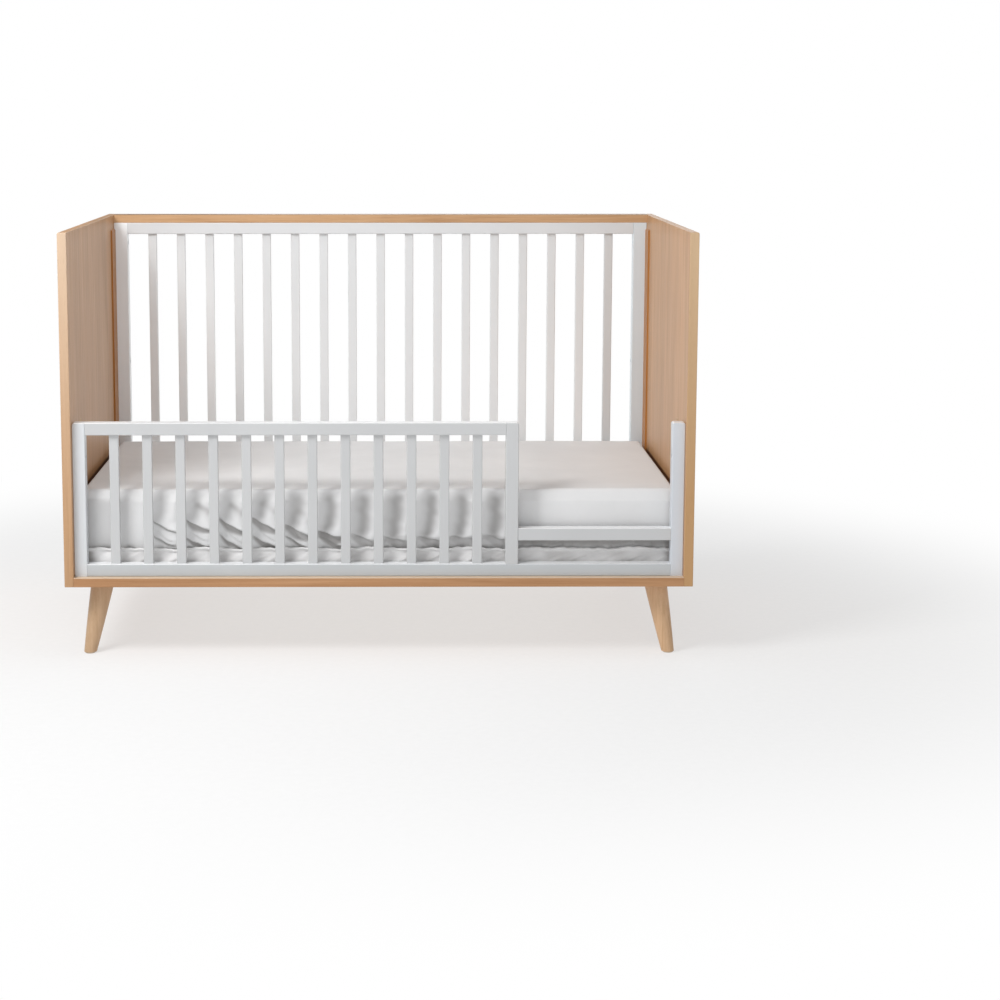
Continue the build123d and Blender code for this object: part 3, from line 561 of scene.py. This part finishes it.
def box_shell(xs, ys, zs, with_floor):
    """The skin of a box in small quads between the steps along each axis, open below unless with_floor."""
    half_x, half_y, z_low, z_high = xs[-1], ys[-1], zs[0], zs[-1]
    sheets = []
    sheets.append(np.stack(np.meshgrid(xs, ys, [z_high], indexing="ij"), -1).reshape(len(xs), len(ys), 3))
    for side in (-1, 1):
        front = np.stack(np.meshgrid(xs, [side * half_y], zs, indexing="ij"), -1).reshape(len(xs), len(zs), 3)
        end = np.stack(np.meshgrid([side * half_x], ys, zs, indexing="ij"), -1).reshape(len(ys), len(zs), 3)
        sheets.append(front if side < 0 else front[::-1])
        sheets.append(end[::-1] if side < 0 else end)
    if with_floor:
        under = np.stack(np.meshgrid(xs, ys, [z_low], indexing="ij"), -1).reshape(len(xs), len(ys), 3)
        sheets.append(under[::-1])
    points, faces, start = [], [], 0
    for sheet in sheets:
        rows, columns = sheet.shape[:2]
        points.append(sheet.reshape(-1, 3))
        faces.append(grid_faces(rows, columns, start))
        start += rows * columns
    return weld(np.concatenate(points), np.concatenate(faces))


def round_off(points, half_x, half_y, z_high, radius, z_low=None):
    """Rounds a box's upright and top edges, and the bottom ones if z_low is given.

    Gives the points and each one's outward way."""
    low = -1.0 if z_low is None else z_low + radius
    core = np.stack([
        np.clip(points[:, 0], -half_x + radius, half_x - radius),
        np.clip(points[:, 1], -half_y + radius, half_y - radius),
        np.clip(points[:, 2], low, z_high - radius),
    ], axis=1)
    outward = points - core
    length = np.linalg.norm(outward, axis=1, keepdims=True)
    outward = outward / np.maximum(length, 1e-9)
    return core + outward * radius, outward


# ---- mattress -----------------------------------------------------------------------------
SHEET_CELL = 0.0025  # spacing of the sheet's points on its sides
TOP_CELL = 0.018  # and across the flat middle of its top
EDGE_BAND_WIDE = 0.062
EDGE_ROUND = 0.0075
HEM_ROLL = 0.0026
HEM_TURNS = (40, 80, 120, 160, 200, 240)
PROUDEST = 0.0085  # the furthest that a fold stands out
DRAPE_PITCH = 0.0734
DRAPE_FIRST = -0.479
DRAPE_COUNT = 11
FAINT_DRAPE_X = 0.350
LOW_FOLDS = 6  # drapes from the left that have further folds near the hem
TURN_Z = 0.300  # height at which the first drapes turn to slanting folds
GAP_FROM_X = 0.29, 0.33  # where the entry gap begins, beside the guard's middle post
SIM_FRAMES = 20
SIM_VOXEL = 0.009
SIM_PRESSURE = 4.0
SIM_CAP = 0.003


def mattress_size():
    """Half length, half depth, lowest and highest of the CAD mattress with its sheet on."""
    low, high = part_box("fitted_sheet")
    return (high[0] - low[0]) / 2, (high[1] - low[1]) / 2, low[2], high[2]


def crease(x, z, start, end, height, above, thick):
    """A slanting fold: cloth bulging softly above its line, and lying back in a thick band below it.

    Gives the outward push, and how deep each point lies in the fold's hollow, which is painted on the cloth
    as shade."""
    run = np.array(end) - np.array(start)
    length = math.hypot(*run)
    along = ((x - start[0]) * run[0] + (z - start[1]) * run[1]) / length
    under = ((x - start[0]) * run[1] - (z - start[1]) * run[0]) / length
    under = under - 0.0025 * np.sin(math.pi * np.clip(along / length, 0.0, 1.0))
    window = smoothstep(-0.012, 0.006, along) * (1 - smoothstep(length - 0.008, length + 0.012, along))
    band = thick * (0.45 + 0.70 * np.sin(math.pi * np.clip(0.08 + 0.84 * along / length, 0.0, 1.0)))
    bulge = np.where(under < 0, bell(under, above), bell(under, 0.0026))
    groove = smoothstep(0.0004, 0.0026, under) * (1 - smoothstep(0.80 * band, 1.15 * band + 0.002, under))
    return height * window * (bulge - 0.50 * groove), window * groove


def slanting_shade(x, z, start, end, wide):
    """How deep points lie in a broad soft dip along a line."""
    run = np.array(end) - np.array(start)
    length = math.hypot(*run)
    along = ((x - start[0]) * run[0] + (z - start[1]) * run[1]) / length
    under = ((x - start[0]) * run[1] - (z - start[1]) * run[0]) / length
    within = smoothstep(-0.010, 0.006, along) * (1 - smoothstep(length - 0.006, length + 0.012, along))
    return bell(under, wide) * within


def upright_drape(x, z, centre, turn_z, late, random):
    """A drape's valley and the ridges beside it, above the height where the drape turns, with painted shade
    in the valley.
    """
    lean = 0.006 - 0.18 * np.clip(turn_z + 0.045 - z, 0.0, 0.09)
    upright = (1 - smoothstep(0.338, 0.360, z)) * smoothstep(turn_z - 0.020, turn_z + 0.006, z)
    across = x - centre - lean
    valley = bell(across, (0.0115 + 0.0036 * late) * random.uniform(0.85, 1.2)) * upright
    valley *= random.uniform(0.85, 1.0)
    ridge = bell(across - 0.026, 0.011) * upright
    ridge += 0.5 * bell(across + 0.024, 0.009) * upright
    push = (0.0026 + 0.0010 * late) * ridge - (0.0034 + 0.0050 * late) * valley
    return push, (0.26 + 0.50 * late) * valley


def turned_fold(x, z, centre, turn_z, n, late, random):
    """The slanting fold that a drape's foot turns to, flatter and thicker the later it comes."""
    fall = max(0.031 - 0.0055 * max(n - 3, 0), 0.010)
    thick = 0.0045 + 0.0150 * (1 - math.exp(-0.45 * n))
    start, end = (centre - 0.018, turn_z), (centre + 0.042, turn_z - fall)
    push, depth = crease(x, z, start, end, 0.0078 - 0.0010 * late, 0.013, thick)
    fainter = 1 - 0.72 * float(smoothstep(4.5, 7.5, np.array(float(n))))
    return push, random.uniform(0.75, 1.0) * depth * fainter


def foot_shade(x, z, centre, turn_z, late):
    """The soft dip that runs from an early drape's foot to the right, above its fold, with painted shade in
    it.
    """
    start, end = (centre + 0.002, turn_z + 0.030), (centre + 0.034, turn_z + 0.009)
    veer = slanting_shade(x, z, start, end, 0.0075) * (1 - late)
    return -0.0022 * veer, 0.50 * veer


def low_folds(x, z, centre, hem, random):
    """A second slanting fold near the hem, and a small tuck above it."""
    low_z = hem + 0.032 + random.uniform(-0.003, 0.003)
    start, end = (centre - 0.018, low_z), (centre + 0.034, low_z - 0.027)
    push, depth = crease(x, z, start, end, 0.0050, 0.007, 0.0088 * random.uniform(0.6, 1.3))
    painted_shade = random.uniform(0.75, 1.0) * depth
    start, end = (centre, hem + 0.038), (centre + 0.030, hem + 0.018)
    tuck, depth = crease(x, z, start, end, 0.0024 * random.uniform(0.4, 1.3), 0.005, 0.0030)
    return push + tuck, painted_shade + 0.35 * depth


def hem_tuck(x, z, hem, seed):
    """The low tuck along the hem, further right, that takes up the rest of the slack, with painted shade in
    it.
    """
    ragged = hem + 0.026 + 0.004 * waves(x, seed + 70, 3, 0.090, 0.031)
    tucked = smoothstep(-0.02, 0.03, x) * smoothstep(ragged + 0.004, ragged - 0.002, z)
    return -0.0030 * tucked, 0.20 * tucked


def drape_push(x, z, hem, seed, reach):
    """A long side of the sheet: upright drapes that turn to slanting folds towards the hem.

    Gives the outward push, and how deep each point lies in a hollow, which is painted as shade. Reach is
    where the slack starts and ends."""
    random = np.random.default_rng(seed)
    slack = smoothstep(reach[0] - 0.05, reach[0] + 0.02, x)
    slack = slack * (1 - smoothstep(reach[1] - 0.01, reach[1] + 0.06, x))
    push = 0.0012 * smoothstep(0.352, 0.300, z) * smoothstep(hem, hem + 0.05, z)
    painted_shade = np.zeros_like(x)
    swayed_x = x + 0.0034 * waves(z + 0.4 * x, seed + 50, 4, 0.110, 0.024)
    swayed_z = z + 0.0026 * waves(x, seed + 60, 5, 0.150, 0.026)
    x, z = swayed_x, swayed_z
    for n in range(DRAPE_COUNT):
        centre = DRAPE_FIRST + n * DRAPE_PITCH + random.uniform(-0.003, 0.003)
        late = float(smoothstep(1.0, 5.5, np.array(float(n))))
        turn_z = max(TURN_Z - 0.0118 * max(n - 3, 0), hem + 0.031) + random.uniform(-0.003, 0.003)
        shapes = [upright_drape(x, z, centre, turn_z, late, random)]
        shapes.append(turned_fold(x, z, centre, turn_z, n, late, random))
        if n > 0:
            shapes.append(foot_shade(x, z, centre, turn_z, late))
        if n < LOW_FOLDS:
            shapes.append(low_folds(x, z, centre, hem, random))
        push += sum(shape[0] for shape in shapes)
        painted_shade += sum(shape[1] for shape in shapes)
    tuck, shade = hem_tuck(x, z, hem, seed)
    push, painted_shade = push + tuck, painted_shade + shade
    return PROUDEST * np.tanh(push * slack / PROUDEST), np.clip(painted_shade * slack, 0.0, 1.0)


def end_push(y, z, hem, seed):
    """Outward push of a short side: a few shallow upright folds towards its corners."""
    shape = waves(y, seed, 5, 0.30, 0.06)
    return 0.0016 * shape * smoothstep(0.350, 0.290, z) * smoothstep(hem - 0.01, hem + 0.03, z)


def around(points, half_x, half_y):
    """Distance round the mattress of each point, for gathers that go round the corners."""
    x, y = points[:, 0], points[:, 1]
    on_long = np.abs(np.abs(y) - half_y) < np.abs(np.abs(x) - half_x)
    long_run = np.where(y < 0, x, 2 * half_x + 2 * half_y - x)
    end_run = np.where(x > 0, half_x + half_y + y, 3 * half_x + 3 * half_y - y)
    return np.where(on_long, long_run, end_run)


def edge_roll(x, y, half_y):
    """Lift of the sheet's top along its front edge: a soft roll with a shallow dent behind it."""
    inward = y + half_y
    roll = bell(inward - 0.010, 0.011) * (0.45 + 0.55 * smoothstep(0.26, 0.42, x))
    dent = bell(inward - 0.036, 0.020) * (0.35 + 0.65 * bell(x - 0.35, 0.075))
    return 0.0022 * roll - 0.0042 * dent


def facing(outward, axis, way):
    """1 where the surface faces along an axis, way being -1 or 1, and 0 where it faces across it."""
    return np.clip(way * outward[:, axis], 0.0, 1.0) ** 2


def side_folds(placed, outward):
    """Outward push of the sheet's sides, and how deep each point lies in a fold's hollow, painted on the
    cloth as shade.
    """
    _, _, hem, _ = mattress_size()
    x, y, z = placed.T
    on_front, on_back = facing(outward, 1, -1), facing(outward, 1, 1)
    on_end = facing(np.abs(outward), 0, 1)
    front_push, front_painted_shade = drape_push(x, z, hem, 11, (-0.52, 0.30))
    back_push, back_painted_shade = drape_push(-x, z, hem, 12, (-0.50, 0.26))
    push = front_push * on_front + 0.8 * back_push * on_back + end_push(y, z, hem, 13) * on_end
    return push, front_painted_shade * on_front + back_painted_shade * on_back


def hem_gathers(placed, outward, run):
    """The sheet's lower edge, drawn in by its elastic, and set back and shaded under the entry rail.

    Gives the outward push, the lift, and the shade painted on each point: a painted shadow under the entry
    rail, painted shade along the hem and at the ends, and in a faint drape."""
    _, _, hem, top = mattress_size()
    x, _, z = placed.T
    on_front = facing(outward, 1, -1)
    near_hem = np.exp(-(z - hem) / 0.011) * np.clip(1.0 - outward[:, 2], 0.0, 1.0) ** 2
    beside_gap = smoothstep(*GAP_FROM_X, x) * on_front
    under_rail = beside_gap * smoothstep(hem + 0.042, hem + 0.024, z)
    push = near_hem * (0.0026 * waves(run, 21, 6, 0.060, 0.011) - 0.0060)
    push -= under_rail * (0.0045 + 0.0014 * waves(run, 23, 4, 0.090, 0.030))
    lift = near_hem * (0.0042 * waves(run, 22, 5, 0.19, 0.026) - 0.0090 * beside_gap)
    # painted shadow under the entry rail, creased, and painted shade along the hem elsewhere
    creased = waves(run - 1.6 * z, 24, 4, 0.120, 0.022)
    painted_shade = under_rail * (0.30 + 0.70 * smoothstep(hem + 0.005, hem + 0.017, z) + 0.14 * creased)
    painted_shade += 0.50 * near_hem * (1 - beside_gap)
    # the left end of the front lies in the frame's shadow, below the rolled edge
    painted_shade += 0.34 * smoothstep(-0.50, -0.60, x) * on_front * smoothstep(top - 0.018, top - 0.026, z)
    # the right end, away from the light, is a little duller all over
    painted_shade += 0.10 * smoothstep(0.30, 0.40, x)
    # one faint drape shows in the entry gap, with painted shade in it
    faint = bell(x - FAINT_DRAPE_X, 0.011) * smoothstep(0.362, 0.345, z) * on_front
    push -= 0.0012 * faint
    painted_shade += 0.12 * faint
    return push, lift, painted_shade


def top_lift(x, y, outward):
    """Lift of the sheet's top: very slightly crowned, with slow unevenness and a soft front edge."""
    half_x, half_y, _, _ = mattress_size()
    crown = (1 - (x / half_x) ** 4) * (1 - (y / half_y) ** 4)
    uneven = waves(x + 0.35 * y, 31, 4, 0.61, 0.15) * waves(y - 0.2 * x, 32, 3, 0.43, 0.17)
    flat = np.clip(outward[:, 2], 0.0, 1.0) ** 3
    return flat * (0.0014 * uneven + 0.0010 * crown + edge_roll(x, y, half_y))


def sheet_shape():
    """Points and faces of the fitted sheet, with its folds, gathers and hem, and the shade painted on each
    point.
    """
    half_x, half_y, hem, top = mattress_size()
    xs, zs = steps(-half_x, half_x, SHEET_CELL), steps(hem, top, SHEET_CELL)
    points, faces = box_shell(xs, closer_at_ends(half_y, 2 * SHEET_CELL, TOP_CELL, EDGE_BAND_WIDE), zs, False)
    placed, outward = round_off(points, half_x, half_y, top - 0.0025, EDGE_ROUND)
    fold_push, fold_painted_shade = side_folds(placed, outward)
    hem_push, hem_lift, hem_painted_shade = hem_gathers(placed, outward, around(placed, half_x, half_y))
    x, y, z = placed.T
    # the long edges lean in above a soft line, so that they catch the light
    lean = np.clip((z - top + 0.028) / 0.024, 0.0, 1.0) * smoothstep(half_y - 0.12, half_y - 0.012, np.abs(y))
    y = y - np.sign(y) * 0.0085 * lean
    moved = np.column_stack([x, y, z]) + outward * (fold_push + hem_push)[:, None]
    moved[:, 2] += top_lift(x, y, outward) + hem_lift
    on_hem = points[:, 2] < hem + 1e-6
    return roll_hem(moved, faces, outward, on_hem), np.clip(fold_painted_shade + hem_painted_shade, 0.0, 1.0)


def roll_hem(points, faces, outward, on_hem):
    """Adds the elastic hem: the sheet's lower edge turned in and up."""
    sides = [faces[:, [n, (n + 1) % 4]] for n in range(4)]
    edges = np.sort(np.concatenate(sides), axis=1)
    edges, uses = np.unique(edges, axis=0, return_counts=True)
    border = edges[(uses == 1) & on_hem[edges].all(axis=1)]
    ids = np.unique(border)
    level = outward[ids] * np.array([1.0, 1.0, 0.0])
    level /= np.linalg.norm(level, axis=1, keepdims=True)
    index = {int(v): n for n, v in enumerate(ids)}
    new_points, new_faces = [points], [faces]
    previous = ids
    start = len(points)
    for turn in HEM_TURNS:
        angle = math.radians(turn)
        ring = points[ids] - level * HEM_ROLL * (1 - math.cos(angle))
        ring[:, 2] -= HEM_ROLL * math.sin(angle)
        new_points.append(ring)
        current = np.arange(start, start + len(ids))
        a = np.array([index[int(v)] for v in border[:, 0]])
        b = np.array([index[int(v)] for v in border[:, 1]])
        new_faces.append(np.stack([previous[a], previous[b], current[b], current[a]], axis=1))
        previous = current
        start += len(ids)
    return np.concatenate(new_points), np.concatenate(new_faces)


def tidy_normals(obj):
    """Points every face outwards."""
    bpy.context.view_layer.objects.active = obj
    obj.select_set(True)
    bpy.ops.object.mode_set(mode="EDIT")
    bpy.ops.mesh.select_all(action="SELECT")
    bpy.ops.mesh.normals_make_consistent(inside=False)
    bpy.ops.object.mode_set(mode="OBJECT")
    obj.select_set(False)


def add_fitted_sheet(cloth):
    """The fitted sheet, cut as a rectangle with its corner squares taken out."""
    (points, faces), painted_shade_amount = sheet_shape()
    sheet = mesh_object("fitted_sheet_cloth", points, faces, cloth, "mattress")
    depth = sheet.data.attributes.new("painted_shade_amount", "FLOAT", "POINT")
    # the rolled hem is painted in shade all along
    depth.data.foreach_set("value", np.concatenate([painted_shade_amount, np.full(len(points) - len(painted_shade_amount), 0.8)]))
    tidy_normals(sheet)
    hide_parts("fitted_sheet")


def points_of(mesh):
    """A mesh's points, as rows."""
    places = np.empty(len(mesh.vertices) * 3)
    mesh.vertices.foreach_get("co", places)
    return places.reshape(-1, 3)


def inflate(shape):
    """Remeshes the shape and blows it up by a short cloth simulation, within a cap on each move."""
    bpy.context.view_layer.objects.active = shape
    shape.data.remesh_voxel_size = SIM_VOXEL
    shape.data.use_remesh_fix_poles = False
    bpy.ops.object.voxel_remesh()
    start = points_of(shape.data)
    cloth = shape.modifiers.new("cloth", "CLOTH")
    settings = cloth.settings
    settings.quality = 4
    settings.mass = 0.25
    settings.tension_stiffness = settings.compression_stiffness = 18.0
    settings.bending_stiffness = 1.5
    settings.use_pressure = True
    settings.uniform_pressure_force = SIM_PRESSURE
    settings.effector_weights.gravity = 0.0
    cloth.collision_settings.use_collision = False
    cloth.point_cache.frame_end = SIM_FRAMES
    for step in range(1, SIM_FRAMES + 1):
        bpy.context.scene.frame_set(step)
    move = points_of(shape.evaluated_get(bpy.context.evaluated_depsgraph_get()).data) - start
    shape.modifiers.remove(cloth)
    bpy.context.scene.frame_set(1)
    length = np.linalg.norm(move, axis=1, keepdims=True)
    move *= np.minimum(1.0, SIM_CAP / np.maximum(length, 1e-9))
    shape.data.vertices.foreach_set("co", (start + move).ravel())
    shape.data.polygons.foreach_set("use_smooth", [True] * len(shape.data.polygons))
    shape.data.update()


def add_mattress_body(cloth):
    """The covered foam block under the sheet, its cover blown tight by a cloth simulation."""
    half_x, half_y, _, top = mattress_size()
    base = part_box("mattress")[0][2]
    half_x, half_y, top = half_x - 0.010, half_y - 0.020, top - 0.012
    reaches = (-half_x, half_x), (-half_y, half_y), (base + 0.002, top)
    lines = [steps(low, high, 0.012) for low, high in reaches]
    points, faces = box_shell(*lines, True)
    placed, _ = round_off(points, half_x, half_y, top, 0.014, base + 0.002)
    body = mesh_object("mattress_body", placed, faces, cloth, "mattress")
    tidy_normals(body)
    inflate(body)
    places = points_of(body.data)
    places[:, 2] = np.maximum(places[:, 2], base + 0.0004)
    body.data.vertices.foreach_set("co", places.ravel())
    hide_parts("mattress")


SKIRT_CELL = 0.004
SKIRT_ROUND = 0.012


def skirt_outline(half_x, half_y):
    """Points round the mattress, corner arcs joined by straight runs, and the outward way at each."""
    straight_x, straight_y = half_x - SKIRT_ROUND, half_y - SKIRT_ROUND
    path = []
    for corner, (cx, cy) in enumerate(((1, -1), (1, 1), (-1, 1), (-1, -1))):
        for t in steps(0.0, 1.0, 0.1):
            angle = math.radians(-90 + 90 * (corner + t))
            path.append((cx * straight_x, cy * straight_y, math.cos(angle), math.sin(angle)))
        nx, ny = ((1, 1), (-1, 1), (-1, -1), (1, -1))[corner]
        angle = math.radians(90 * corner)
        run = 2 * (straight_y if corner % 2 == 0 else straight_x)
        for t in steps(0.0, 1.0, SKIRT_CELL / run)[1:-1]:
            slide = 1 - 2 * t
            x = straight_x * nx if corner % 2 == 0 else -straight_x * slide * nx
            y = -straight_y * slide * ny if corner % 2 == 0 else straight_y * ny
            path.append((x, y, math.cos(angle), math.sin(angle)))
    core = np.array(path)
    return core[:, :2] + core[:, 2:] * SKIRT_ROUND, core[:, 2:]


def skirt_profile(base, top):
    """The band's section, as how far out and how high: a corded edge, then cloth that flares to the base."""
    corded = [(-0.0060, top - 0.004), (-0.0030, top), (0.0014, top + 0.0012), (0.0050, top + 0.0002)]
    corded += [(0.0062, top - 0.0022), (0.0040, top - 0.0042)]
    fall = top - 0.004 - base
    return corded + [(0.0022 + 0.0052 * t, top - 0.004 - t * fall) for t in steps(0.1, 1, 0.1)]


def ring_faces(rings, count):
    """Quads between rings of count points each."""
    here = np.arange(count)
    following = (here + 1) % count
    row = np.stack([here, following, following + count, here + count], axis=1)
    return np.concatenate([row + n * count for n in range(rings - 1)])


def add_cover_skirt(cloth):
    """The cover's gathered lower border, with a corded top edge, that shows below the sheet."""
    half_x, half_y, hem, _ = mattress_size()
    top = hem + 0.001
    profile = skirt_profile(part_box("mattress")[0][2] + 0.001, top)
    outline, outward = skirt_outline(half_x, half_y)
    run = np.concatenate([[0.0], np.cumsum(np.linalg.norm(np.diff(outline, axis=0), axis=1))])
    rings = []
    for out, z in profile:
        loose = smoothstep(top, top - 0.02, np.array(z))
        ripple = 0.0030 * waves(run + 2.0 * (top - z), 41, 7, 0.160, 0.014) * (0.35 + 0.65 * loose)
        height = z + 0.0030 * waves(run, 42, 6, 0.19, 0.018) * (1 - loose)
        rings.append(np.column_stack([outline + outward * (out - 0.002 + ripple)[:, None], height]))
    points = np.concatenate(rings)
    faces = ring_faces(len(rings), len(outline))
    skirt = mesh_object("mattress_cover_skirt", points, faces, cloth, "mattress")
    # painted shade in the band's pleats and at the mattress's ends, below the corded edge
    pleats = waves(np.tile(run, len(rings)) + 0.2 * points[:, 2], 43, 4, 0.150, 0.052)
    below = smoothstep(top - 0.003, top - 0.010, points[:, 2])
    at_ends = smoothstep(half_x - 0.030, half_x - 0.012, np.abs(points[:, 0]))
    shaded = below * (0.36 * np.clip(0.4 - 0.9 * pleats, 0.0, 1.0) + 0.9 * at_ends)
    depth = skirt.data.attributes.new("painted_shade_amount", "FLOAT", "POINT")
    depth.data.foreach_set("value", np.clip(shaded, 0.0, 1.0))
    tidy_normals(skirt)


def add_mattress():
    """The mattress in its knitted cover, under its cotton sheet."""
    cotton = woven_cloth("sheet_cotton", (0.824, 0.827, 0.832), 520.0, 0.25, 0.18, 0.15, 0.56)
    knit = woven_cloth("cover_knit", (0.860, 0.852, 0.850), 330.0, 0.35, 0.25, 0.2, 0.5)
    add_mattress_body(knit)
    add_cover_skirt(knit)
    add_fitted_sheet(cotton)


def build():
    bpy.context.scene.view_settings.view_transform = "Standard"
    add_camera()
    add_world()
    add_lights()
    add_floor()
    dress_cad_nodes()
    add_mattress()


build()
